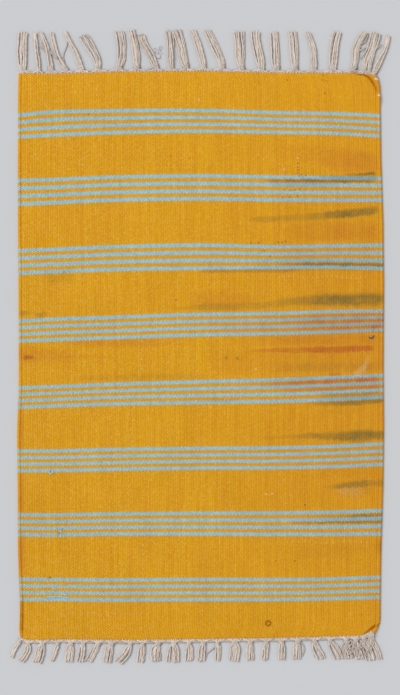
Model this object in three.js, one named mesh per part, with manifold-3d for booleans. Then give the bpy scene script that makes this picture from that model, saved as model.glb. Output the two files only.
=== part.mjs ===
// A hand-woven cotton kilim rug, lying flat, with a knotted warp fringe at both ends.
// Millimetres. +Z is up, +Y runs along the warps towards the longer fringe, and +X runs across them.
// The origin is the middle of the cloth's underside, on the surface that the rug lies on.

import * as THREE from "three";
import { mergeVertices } from "three/addons/utils/BufferGeometryUtils.js";
import Module from "manifold-3d";

const wasm = await Module();
wasm.setup();

// The cloth: weft packed over the warps, so that each warp is a raised rib from end to end.
const WIDTH = 608.4; // at its widest
const RIBS = 202; // warp ribs between the two selvedges
const RIB_CREST = 3.9; // top of a rib above the floor
const RIB_GROOVE = 3.3; // between two ribs

// A selvedge is two warps bound as one cord, with a groove between it and the first rib.
const SELVEDGE = [
  { inward: 0, height: 1.5 },
  { inward: 1.3, height: 4.1 },
  { inward: 3.1, height: 4.8 },
  { inward: 4.9, height: 4.1 },
  { inward: 6.3, height: 2.8 },
  { inward: 7.8, height: RIB_GROOVE },
];

// The sides as the weaver's tension left them: each row is a share of the length from the short-fringe end,
// with the x of the left and the right edge there.
const SIDES = [
  { share: 0, left: -299.5, right: 298.5 },
  { share: 0.027, left: -302.5, right: 299.2 },
  { share: 0.176, left: -304, right: 298.3 },
  { share: 0.31, left: -304.7, right: 304.2 },
  { share: 0.75, left: -303.7, right: 304.2 },
  { share: 0.973, left: -302.7, right: 298.2 },
  { share: 1, left: -303, right: 294.5 },
];

// The woven ends: each row is a share of the width from the left edge, with the y of the two ends there.
const ENDS = [
  { share: 0, near: -472.5, far: 467.5 },
  { share: 0.03, near: -473.7, far: 470.5 },
  { share: 0.2, near: -473.3, far: 470.5 },
  { share: 0.36, near: -472.8, far: 472.5 },
  { share: 0.56, near: -472.5, far: 473.3 },
  { share: 0.82, near: -471.3, far: 470.5 },
  { share: 0.955, near: -467.5, far: 470.3 },
  { share: 0.985, near: -463.5, far: 465.5 },
  { share: 1, near: -449, far: 467.5 },
];

// Both right-hand corners have curled up beyond a soft crease: two points on each crease,
// with the corner on its left when looking from the first to the second.
const CURLS = [
  { from: [268, 471], to: [298, 447], slope: 0.4 },
  { from: [299, -447], to: [274, -468], slope: 0.35 },
];

// The fringe: the warp ends run into a header along the cloth's edge, and are knotted into bundles.
const EDGE_GAP = 0.4; // between the cloth and a header
const HEADER = { width: 4, height: 2.6 };
const KNOT = { out: 7.2, halfWidth: 4.2, halfLength: 3.6, height: 5.2, margin: 0.4 };
const YARN = { base: 2.3, top: 1.3, height: 2.2 };
const APART = { knot: 2.4, middle: 3.2, tip: 3.35 }; // between neighbouring yarns of a bundle
const ROOT = 1; // how far a yarn starts inside its knot
const RAGGED = 1.8; // how much longer or shorter than its bundle a yarn may be

// Each bundle: x of its knot, how far its tip leans, how far its middle bows, its reach from the cloth
// and its number of yarns.
const bundle = (root, lean, bow, reach, yarns = 4) => ({ root, lean, bow, reach, yarns });

const LONG_FRINGE = {
  name: "fringe_long",
  end: "far",
  outward: 1,
  steps: 3,
  from: -302,
  to: 292,
  bundles: [
    bundle(-295.5, 1, -3, 69, 5),
    bundle(-271, -6, 0, 68, 3),
    bundle(-250, -15, 1, 69),
    bundle(-223, -27, -3, 69),
    bundle(-197, -26, 2, 68),
    bundle(-170, -34, 7, 60),
    bundle(-137, 1, 6, 69),
    bundle(-105, -12, 2, 68),
    bundle(-72, -30, -2, 60),
    bundle(-48, -4, 2, 69),
    bundle(-23, -14, -1, 68),
    bundle(6, -17, 2, 69),
    bundle(37, -25, 1, 68),
    bundle(69, -4, -2, 69),
    bundle(102, -8, -3, 68),
    bundle(128, -5, -1, 69),
    bundle(158, -4, 1, 68),
    bundle(190, -10, 5, 69),
    bundle(222, 7, -3, 68),
    bundle(253, 18, -4, 69),
    bundle(273, 19, 0, 68, 5),
    bundle(288, 24, 3, 66, 3),
  ],
};

const SHORT_FRINGE = {
  name: "fringe_short",
  end: "near",
  outward: -1,
  steps: 2,
  from: -299,
  to: 290,
  bundles: [
    bundle(-296, -18, -2, 34, 2),
    bundle(-285, -13, 3, 36, 3),
    bundle(-264, -11, 0, 37),
    bundle(-238, -10, 0, 36),
    bundle(-216, -3, 0, 37),
    bundle(-194, -8, 0, 36),
    bundle(-169, -18, 0, 37),
    bundle(-147, -8, 0, 36),
    bundle(-118, -23, 4, 36),
    bundle(-96, -4, 1, 37),
    bundle(-70, -4, -1, 36),
    bundle(-43, -3, 0, 37),
    bundle(-17, -1, 0, 36),
    bundle(5, -4, 0, 37),
    bundle(30, -2, 0, 36),
    bundle(58, -2, 0, 37),
    bundle(84, 1, 0, 36),
    bundle(112, -7, -1, 37),
    bundle(137, -2, 0, 36),
    bundle(165, -5, 0, 37),
    bundle(192, 8, -1, 37),
    bundle(217, 18, 0, 37),
    bundle(245, 3, 0, 39),
    bundle(259, 11, 0, 39, 3),
    bundle(273, 13, 0, 41, 3),
    bundle(287, 20, 1, 44),
  ],
};

const cotton = (color) =>
  new THREE.MeshStandardMaterial({ color, roughness: 0.92, metalness: 0 });
const dyedYarn = cotton(0xd69927);
const rawYarn = cotton(0xc3b9ae);

const mix = (a, b, t) => a + (b - a) * t;

// The value of one column of a table at a share between its rows.
function along(table, share, column) {
  const last = table.findIndex((row) => row.share >= share);
  const [a, b] = [table[Math.max(last - 1, 0)], table[Math.max(last, 0)]];
  const t = b.share > a.share ? (share - a.share) / (b.share - a.share) : 0;
  return mix(a[column], b[column], t);
}

// How far a curled corner stands off the floor at a point.
function curl(x, y) {
  let rise = 0;
  for (const { from, to, slope } of CURLS) {
    const [dx, dy] = [to[0] - from[0], to[1] - from[1]];
    const beyond = (dx * (y - from[1]) - dy * (x - from[0])) / Math.hypot(dx, dy);
    rise = Math.max(rise, beyond * slope);
  }
  return rise;
}

// A point of the cloth: a share across, a share along and a height over the curled underside.
function clothPoint(across, lengthwise, height) {
  const left = along(SIDES, lengthwise, "left");
  const right = along(SIDES, lengthwise, "right");
  const x = mix(left, right, across);
  const y = mix(along(ENDS, across, "near"), along(ENDS, across, "far"), lengthwise);
  return [x, y, height + curl(x, y)];
}

// Shares across the cloth and heights of every line of its top: selvedge, ribs, selvedge.
function topLines() {
  const inner = SELVEDGE.at(-1).inward / WIDTH;
  const lines = SELVEDGE.map(({ inward, height }) => ({ share: inward / WIDTH, height }));
  for (let half = 1; half < 2 * RIBS; half++) {
    const share = mix(inner, 1 - inner, half / (2 * RIBS));
    lines.push({ share, height: half % 2 ? RIB_CREST : RIB_GROOVE });
  }
  const mirrored = SELVEDGE.map(({ inward, height }) => ({ share: 1 - inward / WIDTH, height }));
  return [...lines, ...mirrored.reverse()];
}

function makeCloth() {
  const points = [];
  const faces = [];
  const top = topLines();
  const layRow = (shares, height) => (row) =>
    shares.map((line) => {
      points.push(clothPoint(line.share, row.share, height(line)));
      return points.length - 1;
    });
  const upper = SIDES.map(layRow(top, (line) => line.height));
  const lower = SIDES.map(layRow(ENDS, () => 0));

  const quad = (a, b, c, d) => faces.push([a, b, c], [a, c, d]);
  for (let r = 0; r + 1 < SIDES.length; r++) {
    for (let c = 0; c + 1 < top.length; c++) {
      quad(upper[r][c], upper[r][c + 1], upper[r + 1][c + 1], upper[r + 1][c]);
    }
    for (let c = 0; c + 1 < ENDS.length; c++) {
      quad(lower[r][c], lower[r + 1][c], lower[r + 1][c + 1], lower[r][c + 1]);
    }
    quad(upper[r][0], upper[r + 1][0], lower[r + 1][0], lower[r][0]);
    quad(upper[r].at(-1), lower[r].at(-1), lower[r + 1].at(-1), upper[r + 1].at(-1));
  }
  closeEnd(faces, upper[0], lower[0], top, false);
  closeEnd(faces, upper.at(-1), lower.at(-1), top, true);
  return geometryOf(points, faces);
}

// An end wall between the many points of the top's edge and the few of the underside's.
function closeEnd(faces, upper, lower, top, flipped) {
  const add = (a, b, c) => faces.push(flipped ? [a, c, b] : [a, b, c]);
  let [u, l] = [0, 0];
  while (u + 1 < upper.length || l + 1 < lower.length) {
    const upperNext = u + 1 < upper.length ? top[u + 1].share : Infinity;
    const lowerNext = l + 1 < lower.length ? ENDS[l + 1].share : Infinity;
    if (upperNext <= lowerNext) {
      add(upper[u], lower[l], upper[u + 1]);
      u++;
    } else {
      add(upper[u], lower[l], lower[l + 1]);
      l++;
    }
  }
}

function geometryOf(points, faces) {
  const geometry = new THREE.BufferGeometry();
  geometry.setAttribute("position", new THREE.Float32BufferAttribute(points.flat(), 3));
  geometry.setIndex(faces.flat());
  const shown = geometry.toNonIndexed();
  shown.computeVertexNormals();
  return shown;
}

// The y of the cloth's end at x, along a fringe.
function endAt(fringe, x) {
  const row = fringe.outward > 0 ? SIDES.at(-1) : SIDES[0];
  return along(ENDS, (x - row.left) / (row.right - row.left), fringe.end);
}

// A header: a flat strip along the cloth's end, with a corner wherever that end has one.
function makeHeader(fringe) {
  const { from, to, outward } = fringe;
  const row = outward > 0 ? SIDES.at(-1) : SIDES[0];
  const corners = ENDS.map(({ share }) => mix(row.left, row.right, share));
  const xs = [from, ...corners.filter((x) => x > from && x < to), to];
  const line = (out) => xs.map((x) => new THREE.Vector2(x, endAt(fringe, x) + outward * out));
  const outline = [...line(EDGE_GAP), ...line(EDGE_GAP + HEADER.width).reverse()];
  return new THREE.ExtrudeGeometry(new THREE.Shape(outline), {
    depth: HEADER.height,
    bevelEnabled: false,
  });
}

// The way a bundle leaves its knot: towards the middle of its bow, which it passes half-way.
const leaving = (fringe, { lean, bow, reach }) => [lean / 2 + 2 * bow, (fringe.outward * reach) / 2];

// A knot: a low rounded roll on the floor, lying across the way its bundle leaves.
function makeKnot(fringe, chosen) {
  const halfWidth = Math.max(KNOT.halfWidth, (APART.knot * chosen.yarns) / 2 + KNOT.margin);
  const outline = [
    [-1, 0],
    [1, 0],
    [0.85, 0.65],
    [0, 1],
    [-0.85, 0.65],
  ].map(([out, up]) => new THREE.Vector2(out * KNOT.halfLength, up * KNOT.height));
  const roll = { depth: 2 * halfWidth, bevelEnabled: false };
  const [x, y] = leaving(fringe, chosen);
  return new THREE.ExtrudeGeometry(new THREE.Shape(outline), roll)
    .translate(0, 0, -halfWidth)
    .rotateX(Math.PI / 2)
    .rotateZ(Math.atan2(y, x))
    .translate(chosen.root, endAt(fringe, chosen.root) + fringe.outward * KNOT.out, 0);
}

// The yarns of one bundle: side by side on the floor, drawn together at the knot and spread at the tips.
function makeYarns(fringe, chosen, number) {
  const { outward, steps } = fringe;
  const { root, lean, yarns } = chosen;
  const start = endAt(fringe, root) + outward * (KNOT.out - ROOT);
  const tip = endAt(fringe, root) + outward * chosen.reach;
  const bowed = root + leaving(fringe, chosen)[0];
  const section = new THREE.Shape([
    new THREE.Vector2(0, -YARN.base / 2),
    new THREE.Vector2(0, YARN.base / 2),
    new THREE.Vector2(-YARN.height, YARN.top / 2),
    new THREE.Vector2(-YARN.height, -YARN.top / 2),
  ]);
  const sideways = new THREE.Vector2(tip - start, -lean).normalize().multiplyScalar(outward);
  const at = (x, y, aside) =>
    new THREE.Vector3(x + sideways.x * aside, y + sideways.y * aside, 0);
  return Array.from({ length: yarns }, (_, k) => {
    const place = k - (yarns - 1) / 2;
    const ragged = outward * RAGGED * Math.sin(5 * number + 3 * k);
    const path = new THREE.QuadraticBezierCurve3(
      at(root, start, place * APART.knot),
      at(bowed, (start + tip) / 2, place * APART.middle),
      at(root + lean, tip + ragged, place * APART.tip),
    );
    return new THREE.ExtrudeGeometry(section, { steps, extrudePath: path });
  });
}

// A closed three.js geometry as a manifold-3d solid.
function solidOf(geometry) {
  const bare = geometry.clone();
  bare.deleteAttribute("normal");
  bare.deleteAttribute("uv");
  const merged = mergeVertices(bare, 1e-4);
  return new wasm.Manifold(
    new wasm.Mesh({
      numProp: 3,
      vertProperties: merged.attributes.position.array,
      triVerts: new Uint32Array(merged.index.array),
    }),
  );
}

// A fringe: header, knots and yarns joined into one solid.
function makeFringe(fringe) {
  const pieces = [
    makeHeader(fringe),
    ...fringe.bundles.map((b) => makeKnot(fringe, b)),
    ...fringe.bundles.flatMap((b, number) => makeYarns(fringe, b, number)),
  ];
  const joined = pieces.map(solidOf).reduce((whole, piece) => whole.add(piece));
  const { vertProperties, triVerts } = joined.getMesh();
  const geometry = new THREE.BufferGeometry();
  geometry.setAttribute("position", new THREE.BufferAttribute(vertProperties, 3));
  geometry.setIndex(new THREE.BufferAttribute(triVerts, 1));
  const shown = geometry.toNonIndexed();
  shown.computeVertexNormals();
  return shown;
}

const rug = new THREE.Group();
function addMesh(name, geometry, material) {
  const mesh = new THREE.Mesh(geometry, material);
  mesh.name = name;
  rug.add(mesh);
}
addMesh("cloth", makeCloth(), dyedYarn);
for (const fringe of [LONG_FRINGE, SHORT_FRINGE]) {
  addMesh(fringe.name, makeFringe(fringe), rawYarn);
}

export default rug;
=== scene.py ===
import math
from bisect import bisect_left
from collections import namedtuple

import bpy
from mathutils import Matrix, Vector


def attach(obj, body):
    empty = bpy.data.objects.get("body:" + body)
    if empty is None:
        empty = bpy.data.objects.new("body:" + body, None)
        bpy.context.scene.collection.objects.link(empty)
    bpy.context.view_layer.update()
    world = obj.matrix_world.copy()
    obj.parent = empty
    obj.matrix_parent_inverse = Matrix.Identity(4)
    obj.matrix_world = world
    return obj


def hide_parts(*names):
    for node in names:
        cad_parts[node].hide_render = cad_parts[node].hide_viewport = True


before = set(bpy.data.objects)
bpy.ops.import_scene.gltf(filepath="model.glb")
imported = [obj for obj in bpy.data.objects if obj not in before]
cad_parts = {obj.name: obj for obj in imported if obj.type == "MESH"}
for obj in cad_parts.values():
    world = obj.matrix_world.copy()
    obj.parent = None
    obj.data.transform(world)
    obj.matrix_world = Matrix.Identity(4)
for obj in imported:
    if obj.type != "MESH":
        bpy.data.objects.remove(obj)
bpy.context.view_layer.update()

scene = bpy.context.scene

# The cloth: a hand-woven cotton kilim in weft-faced plain weave. Mustard and pale blue wefts are packed
# down hard over thick cotton warps, so each warp shows as a rib and each pass of weft as a row of beads.
# The two outermost warps on each side are bound together as a corded selvedge.

MM = 0.001  # sizes and places are in millimetres, and this turns them to metres
PICKS = 660  # passes of weft, counted from the longer fringe's end
RIBS = 202  # warps between the two selvedges
RIB_PITCH = 2.93

# Each side as the weaver's tension left it: share of the length from the shorter fringe's end, and the
# x of the left and the right edge there, in mm. The near right-hand corner is drawn out to a tongue.
SIDES = [
    (0, -300, 291),
    (0.017, -301.4, 299.8),
    (0.03, -300.6, 300.7),
    (0.06, -300.2, 300.8),
    (0.16, -303.7, 302),
    (0.27, -304, 305.3),
    (0.37, -305.2, 306.5),
    (0.475, -302, 305.6),
    (0.63, -302.6, 306.5),
    (0.74, -303.6, 305.4),
    (0.85, -303.8, 302),
    (0.97, -303.4, 300.6),
    (0.982, -303, 299.6),
    (0.99, -302.8, 297.8),
    (1, -302.5, 294.5),
]

# The two woven ends: share of the width from the left, and the y of the near and the far end there.
ENDS = [
    (0, -469, 469.5),
    (0.01, -472.6, 470.2),
    (0.02, -473.6, 470.8),
    (0.05, -474.3, 469.7),
    (0.1, -473, 469.4),
    (0.23, -473.6, 471.8),
    (0.31, -474.2, 472.8),
    (0.5, -472.6, 473.9),
    (0.61, -471.5, 472.4),
    (0.72, -470.8, 471),
    (0.9, -467.8, 470.6),
    (0.955, -467.4, 470.8),
    (0.972, -466.6, 470.2),
    (0.984, -463.4, 467.6),
    (0.991, -459.4, 466.2),
    (1, -463, 466.5),
]

# Eight bands of four blue lines, not quite straight: the y of the first and the last line of each band
# at seven places across the cloth.
BANDS = 8
LINES_IN_BAND = 4
LINE_PICKS = 4  # picks of blue in a line
FIRST_LINE = 44  # the first line's middle, in picks from the end
LINE_PERIOD = 8
BAND_PERIOD = 78
ACROSS = (-300, -250, -160, 0, 130, 220, 300)
LINES = [
    (400.5, 405.5, 407.5, 408.2, 404.5, 403, 399.5),
    (364.5, 367, 371, 374, 372, 370.5, 366),
    (292, 293, 297, 299.5, 297.5, 296.5, 295.5),
    (252.5, 254.5, 258.5, 261, 259.3, 259, 259),
    (174.5, 176.5, 180.5, 184, 181, 182.7, 184),
    (137.5, 139.5, 143, 145.5, 146.6, 147.4, 145),
    (57, 60, 63, 68.3, 70.3, 73, 74),
    (24.5, 26.3, 29.2, 34.7, 37, 39.7, 43),
    (-54, -52.5, -48.7, -44, -40.6, -37, -33.5),
    (-86, -84.3, -81, -78.2, -76.4, -73.5, -69.5),
    (-159, -159.3, -157, -154.8, -153.9, -151.7, -147.7),
    (-192, -191.7, -190, -187.5, -187, -185, -181.5),
    (-265.5, -266, -264.3, -263, -262.4, -261.3, -258.5),
    (-298.5, -299, -297.5, -297.2, -298, -298, -297.5),
    (-373, -373.5, -374.2, -373.4, -373.7, -372.5, -369.5),
    (-406.5, -406.5, -407.2, -406.7, -406.8, -405, -403),
]

# Both right-hand corners are creased, and the corner beyond its crease has curled up. The points follow
# each crease with the corner on their right.
CREASES = [
    [(295.5, 440), (293, 446), (289.5, 452.5), (285, 459.4), (280.5, 464.4), (274, 467.8), (265, 469.6)],
    [(272, -467), (278, -463), (284.5, -456.8), (291, -451.5), (300, -448.5)],
]
CURLED = (250, 425)  # the corners lie farther than this from the middle across and along the cloth
CREASE_REACH = 60  # a crease does nothing farther off than this
CURL_SLOPE = 0.35
CREASE_DEPTH = 1.9
CREASE_WIDTH = 1.8

GROOVE = 3.3  # height of the cloth between two ribs
SELVEDGE = [  # mm in from the edge, height
    (0, 1.9), (0.3, 3.0), (1.1, 4.1), (2.1, 4.7), (3.1, 4.85), (4.1, 4.7),
    (5.0, 4.0), (5.7, 3.1), (6.3, 2.7), (7.0, 2.9), (7.8, GROOVE),
]
INSET = SELVEDGE[-1][0]
TEETH = (0.2, 1.5)  # how far the last pick bulges over an even and over an odd warp
TEETH_APART = 0.8  # how deep it lies between them


def between(table, share, column):
    """The value of a table's column at a share between its rows."""
    for a, b in zip(table, table[1:]):
        if share <= b[0]:
            t = (share - a[0]) / (b[0] - a[0])
            return a[column] + (b[column] - a[column]) * t
    return table[-1][column]


def slopes_of(places, values):
    """The slopes between neighbouring places."""
    pairs = zip(zip(places, values), zip(places[1:], values[1:]))
    return [(after - before) / (end - start) for (start, before), (end, after) in pairs]


def smooth(places, values, slopes, x):
    """A smooth curve through values at places."""
    last = len(slopes) - 1
    k = min(max(bisect_left(places, x) - 1, 0), last)
    into = slopes[k] if k == 0 else (slopes[k - 1] + slopes[k]) / 2
    out = slopes[k] if k == last else (slopes[k] + slopes[k + 1]) / 2
    step = places[k + 1] - places[k]
    t = min(max((x - places[k]) / step, 0), 1)
    bend = t * (1 - t) * step
    straight = values[k] + (values[k + 1] - values[k]) * t
    return straight + bend * ((into - slopes[k]) * (1 - t) - (out - slopes[k]) * t)


def curl(x, y):
    """How far a curled corner stands off the floor, in mm, and how near its crease is, from 0 to 1."""
    if x < CURLED[0] or abs(y) < CURLED[1]:
        return 0, 0
    rise = 0
    crease = 0
    for points in CREASES:
        nearest = CREASE_REACH
        for (x0, y0), (x1, y1) in zip(points, points[1:]):
            run = math.hypot(x1 - x0, y1 - y0)
            along = ((x - x0) * (x1 - x0) + (y - y0) * (y1 - y0)) / run
            beyond = ((x1 - x0) * (y - y0) - (y1 - y0) * (x - x0)) / run
            away = math.hypot(beyond, min(along, 0), max(along - run, 0))
            if away < nearest:
                nearest = away
                side = math.copysign(away, -beyond)
        if nearest < CREASE_REACH:
            rise += max(side, 0) * CURL_SLOPE
            crease += math.exp(-((side / CREASE_WIDTH) ** 2))
    return rise, crease


controls = [0]
for band in range(BANDS):
    first = FIRST_LINE + BAND_PERIOD * band
    controls += [first, first + (LINES_IN_BAND - 1) * LINE_PERIOD]
controls.append(PICKS)
line_slopes = [slopes_of(ACROSS, row) for row in LINES]


def woven_y(x, share, pick):
    """The y of a pick at x: between the line or the end above it and the one below."""
    k = min(max(bisect_left(controls, pick) - 1, 0), len(controls) - 2)

    def level(n):
        if n == 0:
            return between(ENDS, share, 2)
        if n == len(controls) - 1:
            return between(ENDS, share, 1)
        return smooth(ACROSS, LINES[n - 1], line_slopes[n - 1], x)

    t = (pick - controls[k]) / (controls[k + 1] - controls[k])
    return level(k) * (1 - t) + level(k + 1) * t


# The grid of the cloth: columns follow the warps and rows follow the picks. The rows lie close together
# near both ends, for the creases.
RIB_STEPS = 4  # columns to a rib
UNDER_RIBS = 8  # the flat underside has one column to this many ribs
CREASED = 24  # picks at each end where the rows lie close together
CLOSE_ROWS = 1.5  # picks from row to row there
OPEN_ROWS = 9  # and elsewhere
first_warp = INSET / RIB_PITCH
columns = [("left", inward, inward / RIB_PITCH - first_warp, high) for inward, high in SELVEDGE]
columns += [("rib", n / RIB_STEPS, n / RIB_STEPS, GROOVE) for n in range(1, RIB_STEPS * RIBS)]
columns += [
    ("right", inward, RIBS + first_warp - inward / RIB_PITCH, high)
    for inward, high in reversed(SELVEDGE)
]
rows = [0.0]
stops = sorted([*controls, CREASED, PICKS - CREASED])
for low, high in zip(stops, stops[1:]):
    near_end = high <= CREASED or low >= PICKS - CREASED
    steps = round((high - low) / (CLOSE_ROWS if near_end else OPEN_ROWS))
    rows += [low + (high - low) * (n + 1) / steps for n in range(steps)]
inner = range(len(SELVEDGE) + RIB_STEPS, len(columns) - len(SELVEDGE), UNDER_RIBS * RIB_STEPS)
under = [0, *inner, len(columns) - 1]

points = []
warps = []
picks = []
creased = []


def lay(column, pick, height=None):
    """One vertex of the cloth, on top or, given a height, underneath."""
    side, place, warp, high = column
    left = between(SIDES, 1 - pick / PICKS, 1)
    right = between(SIDES, 1 - pick / PICKS, 2)
    if side == "left":
        x = left + place
    elif side == "right":
        x = right - place
    else:
        x = left + INSET + (right - left - 2 * INSET) * place / RIBS
    y = woven_y(x, (x - left) / (right - left), pick)
    if pick in (0, PICKS) and side == "rib":  # the last pick bulges over every other warp
        over = abs(math.sin(math.pi * warp)) * TEETH[math.floor(warp) % 2] - TEETH_APART
        y += over if pick == 0 else -over
    rise, crease = curl(x, y)
    z = high + rise - CREASE_DEPTH * crease if height is None else height + rise
    points.append((x * MM, y * MM, z * MM))
    creased.append(crease)
    warps.append(warp)
    picks.append(pick)
    return len(points) - 1


upper = [[lay(column, pick) for column in columns] for pick in rows]
lower = [[lay(columns[n], pick, 0) for n in under] for pick in rows]
faces = []
for a, b in zip(upper, upper[1:]):
    faces += [(a[n], b[n], b[n + 1], a[n + 1]) for n in range(len(columns) - 1)]
for a, b in zip(lower, lower[1:]):
    faces += [(a[n], a[n + 1], b[n + 1], b[n]) for n in range(len(under) - 1)]
smooth_faces = len(faces)
for k in range(len(rows) - 1):
    faces.append((upper[k][0], lower[k][0], lower[k + 1][0], upper[k + 1][0]))
    faces.append((upper[k][-1], upper[k + 1][-1], lower[k + 1][-1], lower[k][-1]))
for end, top, bottom in ((0, upper[0], lower[0]), (1, upper[-1], lower[-1])):
    for n in range(len(under) - 1):
        a, b = under[n], under[n + 1]
        middle = (a + b) // 2
        ring = [(top[m], bottom[n], top[m + 1]) for m in range(a, middle)]
        ring.append((top[middle], bottom[n], bottom[n + 1]))
        ring += [(top[m], bottom[n + 1], top[m + 1]) for m in range(middle, b)]
        faces += [tuple(reversed(f)) for f in ring] if end == 0 else ring

flat = bpy.data.meshes.new("cloth_before_ribs")
flat.from_pydata(points, [], faces)
for name, values in (("warp", warps), ("pick", picks), ("crease", creased)):
    flat.attributes.new(name, "FLOAT", "POINT").data.foreach_set("value", values)
flat.polygons.foreach_set("use_smooth", [n < smooth_faces for n in range(len(faces))])
cloth_start = bpy.data.objects.new("cloth_before_ribs", flat)
scene.collection.objects.link(cloth_start)


def linear(hex_code):
    """An sRGB colour such as "d69927" as linear values with alpha."""
    parts = [int(hex_code[n : n + 2], 16) / 255 for n in (0, 2, 4)]
    return [p / 12.92 if p <= 0.04045 else ((p + 0.055) / 1.055) ** 2.4 for p in parts] + [1]


def add(tree, kind, inputs=(), **settings):
    """One node: its settings, and each input linked to a socket or set to a value."""
    node = tree.nodes.new(kind)
    for key, value in settings.items():
        setattr(node, key, value)
    for key, value in inputs.items() if isinstance(inputs, dict) else enumerate(inputs):
        if value is None:
            continue
        if isinstance(value, bpy.types.Node):
            value = value.outputs[0]
        if isinstance(value, bpy.types.NodeSocket):
            tree.links.new(value, node.inputs[key])
        else:
            node.inputs[key].default_value = value
    return node


def new_tree(name, sizes):
    """A Geometry Nodes tree with a geometry in and out and named sizes, and its input node."""
    tree = bpy.data.node_groups.new(name, "GeometryNodeTree")
    tree.interface.new_socket("Geometry", in_out="INPUT", socket_type="NodeSocketGeometry")
    tree.interface.new_socket("Geometry", in_out="OUTPUT", socket_type="NodeSocketGeometry")
    for size, value in sizes.items():
        socket = tree.interface.new_socket(size, in_out="INPUT", socket_type="NodeSocketFloat")
        socket.default_value = value
    return tree, tree.nodes.new("NodeGroupInput")


def grown(start, tree, material, name, **sizes):
    """The plain mesh that a tree makes of an object, as a new object in its place."""
    modifier = start.modifiers.new("nodes", "NODES")
    modifier.node_group = tree
    for item in tree.interface.items_tree:
        if item.in_out == "INPUT" and item.name in sizes:
            modifier[item.identifier] = sizes[item.name]
    for node in tree.nodes:
        if node.bl_idname == "GeometryNodeSetMaterial":
            node.inputs["Material"].default_value = material
    shown = start.evaluated_get(bpy.context.evaluated_depsgraph_get())
    mesh = bpy.data.meshes.new_from_object(shown)
    mesh.name = name
    bpy.data.objects.remove(start)
    piece = bpy.data.objects.new(name, mesh)
    scene.collection.objects.link(piece)
    return piece


# The ribs stand up from the flat grid, and the whole face rises and falls a little.
ribs, given = new_tree(
    "raise_ribs",
    {"Rib height": 0.0006, "Wave height": 0.0005, "Wave length": 0.11, "Face above": 0.0025},
)
warp = add(ribs, "GeometryNodeInputNamedAttribute", ["warp"], data_type="FLOAT")
turn = add(ribs, "ShaderNodeMath", [warp, math.pi], operation="MULTIPLY")
arch = add(ribs, "ShaderNodeMath", [turn], operation="SINE")
arch = add(ribs, "ShaderNodeMath", [arch], operation="ABSOLUTE")
after_left = add(ribs, "ShaderNodeMath", [warp, 0.0], operation="GREATER_THAN")
before_right = add(ribs, "ShaderNodeMath", [warp, float(RIBS)], operation="LESS_THAN")
arch = add(ribs, "ShaderNodeMath", [arch, after_left], operation="MULTIPLY")
arch = add(ribs, "ShaderNodeMath", [arch, before_right], operation="MULTIPLY")
arch = add(ribs, "ShaderNodeMath", [arch, given.outputs["Rib height"]], operation="MULTIPLY")
where = add(ribs, "GeometryNodeInputPosition")
wave_scale = add(ribs, "ShaderNodeMath", [1.0, given.outputs["Wave length"]], operation="DIVIDE")
wave = add(ribs, "ShaderNodeTexNoise", {"Vector": where, "Scale": wave_scale, "Detail": 2.0})
wave = add(ribs, "ShaderNodeMath", [wave.outputs[0], given.outputs["Wave height"]], operation="MULTIPLY")
rise = add(ribs, "ShaderNodeMath", [arch, wave], operation="ADD")
height = add(ribs, "ShaderNodeSeparateXYZ", [where]).outputs[2]
on_top = add(ribs, "ShaderNodeMath", [height, given.outputs["Face above"]], operation="GREATER_THAN")
rise = add(ribs, "ShaderNodeMath", [rise, on_top], operation="MULTIPLY")
lift = add(ribs, "ShaderNodeCombineXYZ", [0.0, 0.0, rise])
raised = add(ribs, "GeometryNodeSetPosition", {"Geometry": given.outputs[0], "Offset": lift})
raised = add(ribs, "GeometryNodeRealizeInstances", [raised])
raised = add(ribs, "GeometryNodeSetMaterial", [raised])
add(ribs, "NodeGroupOutput", [raised])

# Dyed cotton weft: soft, matt and slightly uneven, with a dark crevice round each bead that is partly its
# bump and partly painted shade.
# Every bead takes the colour of the pick that passes over its warp, so a line's edges run in a zigzag. In a
# colour mix, inputs 0, 6 and 7 are its factor and its two colours.
ORANGE_MUSTARD = "e29e1c"
MUSTARD = "e2a61c"
PALE_YARN = "dfb868"
BLUE = "9dc5d1"
dyed = bpy.data.materials.new("dyed_cotton_weft")
dyed.use_nodes = True
nodes = dyed.node_tree
nodes.nodes.clear()

# Which rib and which bead a point is on, how far from the bead's middle, and how high the bead is there.
warp = add(nodes, "ShaderNodeAttribute", attribute_name="warp").outputs["Fac"]
pick = add(nodes, "ShaderNodeAttribute", attribute_name="pick").outputs["Fac"]
rib = add(nodes, "ShaderNodeMath", [warp], operation="FLOOR")
odd = add(nodes, "ShaderNodeMath", [rib, 2.0], operation="FLOORED_MODULO")
bead = add(nodes, "ShaderNodeMath", [pick, odd], operation="SUBTRACT")
bead = add(nodes, "ShaderNodeMath", [bead, -0.5], operation="ADD")
bead = add(nodes, "ShaderNodeMath", [bead, 0.5], operation="MULTIPLY")
bead = add(nodes, "ShaderNodeMath", [bead], operation="ROUND")
bead = add(nodes, "ShaderNodeMath", [bead, 2.0, odd], operation="MULTIPLY_ADD")
aside = add(nodes, "ShaderNodeMath", [warp, rib], operation="SUBTRACT")
aside = add(nodes, "ShaderNodeMath", [aside, 2.0, -1.0], operation="MULTIPLY_ADD")
ahead = add(nodes, "ShaderNodeMath", [pick, bead], operation="SUBTRACT")
ahead = add(nodes, "ShaderNodeMath", [ahead, -0.5], operation="ADD")
across = add(nodes, "ShaderNodeMath", [aside, aside], operation="MULTIPLY")
along = add(nodes, "ShaderNodeMath", [ahead, ahead], operation="MULTIPLY")
hump = add(nodes, "ShaderNodeMath", [across, 0.45, along], operation="MULTIPLY_ADD")
hump = add(nodes, "ShaderNodeMath", [1.0, hump], operation="SUBTRACT")
hump = add(nodes, "ShaderNodeMath", [hump, 0.0], operation="MAXIMUM")
hump = add(nodes, "ShaderNodeMath", [hump, 0.5], operation="POWER")

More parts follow.
